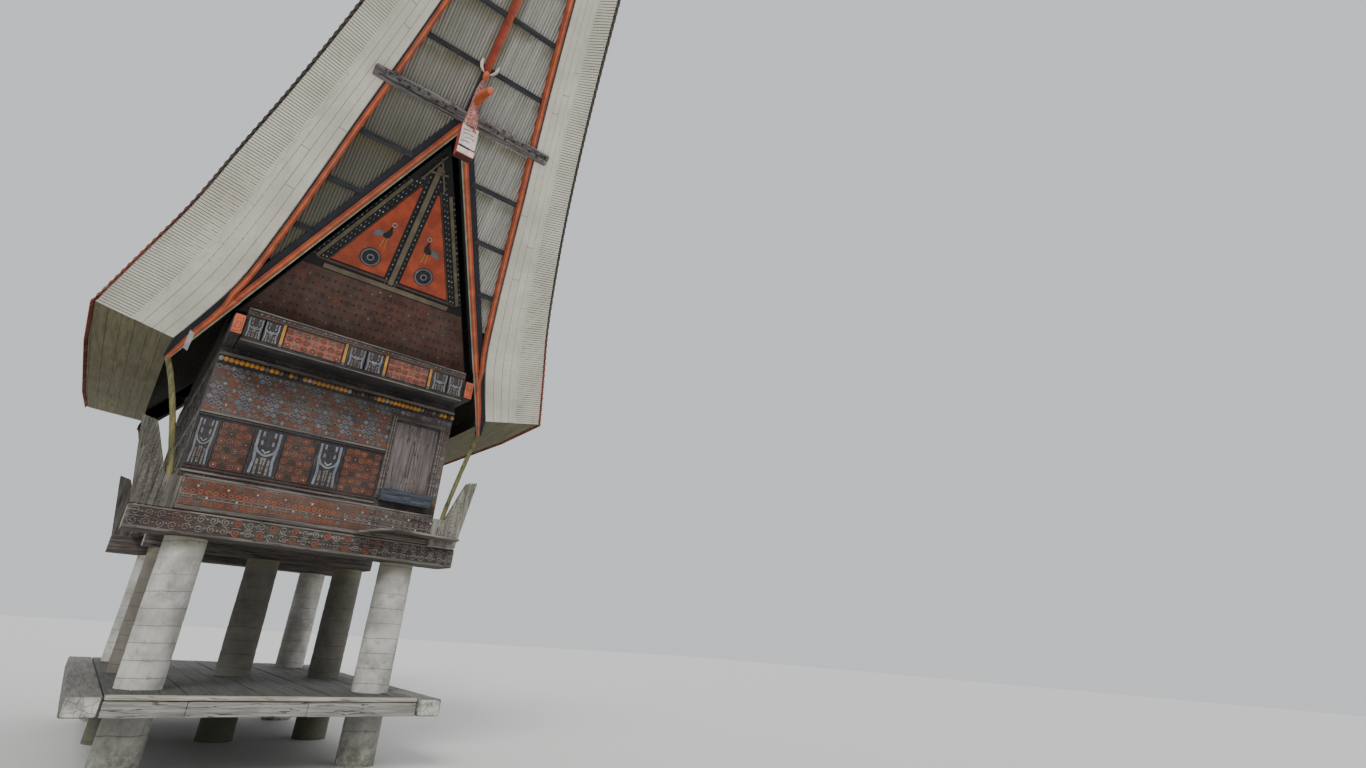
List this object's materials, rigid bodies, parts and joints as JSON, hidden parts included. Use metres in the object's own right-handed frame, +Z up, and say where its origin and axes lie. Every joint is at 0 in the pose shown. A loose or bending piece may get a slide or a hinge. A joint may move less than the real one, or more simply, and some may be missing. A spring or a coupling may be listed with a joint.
{
  "type": "tongkonan-style raised timber store house",
  "caption": "Raised timber store house on round pillars, with a sitting platform, carved walls, leaning painted gables and a thick saddle roof that sweeps up to both tips.",
  "frame": {"origin": "on the ground, half way between the front and rear pillars, in the vertical plane of symmetry of the roof", "axes": "+Z up, -Y towards the decorated front, +X to the right as seen from the front"},
  "size_m": [5.5918, 14.48, 10.5],
  "materials": {
    "palm_trunk": "smooth pale grey trunk, weathered",
    "weathered_wood": "weathered grey planks",
    "carved_wood": "carved, worn red and white paint",
    "painted_panel": "carved, painted red, black, white and ochre",
    "orange_timber": "painted orange, worn",
    "pale_board": "weathered pale grey",
    "bamboo": "layered split bamboo, grey",
    "roof_sheet": "corrugated, rust red, streaked",
    "ridge_metal": "dark, matt",
    "tip_metal": "pale blue-grey sheet"
  },
  "bodies": {
    "root": {"pillar_front_left": "palm_trunk", "pillar_front_right": "palm_trunk", "pillar_middle_left": "palm_trunk", "pillar_middle_centre": "palm_trunk", "pillar_middle_right": "palm_trunk", "pillar_rear_left": "palm_trunk", "pillar_rear_right": "palm_trunk", "platform_bearer_front": "weathered_wood", "platform_bearer_middle": "weathered_wood", "platform_bearer_rear": "weathered_wood", "platform_side_beam_left": "weathered_wood", "platform_side_beam_right": "weathered_wood", "platform_front_board": "weathered_wood", "platform_rear_board": "weathered_wood", "platform_deck": "weathered_wood", "tie_beam_front": "carved_wood", "tie_beam_middle": "weathered_wood", "tie_beam_rear": "carved_wood", "store_floor": "weathered_wood", "sill_front": "carved_wood", "sill_rear": "carved_wood", "front_wall": "painted_panel", "rear_wall": "painted_panel", "left_wall": "weathered_wood", "right_wall": "weathered_wood", "upper_door": "weathered_wood", "door_sill": "weathered_wood", "step_board": "weathered_wood", "corner_board_front_left": "pale_board", "corner_board_front_right": "pale_board", "corner_board_rear_left": "pale_board", "corner_board_rear_right": "pale_board", "wall_plate_left": "orange_timber", "wall_plate_right": "orange_timber", "cornice_front": "painted_panel", "cornice_rear": "painted_panel", "gable_wall_front": "painted_panel", "gable_wall_rear": "painted_panel", "bow_frame_front": "orange_timber", "bow_frame_rear": "orange_timber", "soffit_front": "bamboo", "soffit_rear": "bamboo", "cross_beam_front": "weathered_wood", "cross_beam_rear": "weathered_wood", "bird_figure": "orange_timber", "roof_left": "bamboo", "roof_right": "bamboo", "roof_sheet_left": "roof_sheet", "roof_sheet_right": "roof_sheet", "ridge_cap": "ridge_metal", "tip_cap_front": "tip_metal", "tip_cap_rear": "tip_metal"}
  },
  "joints": []
}
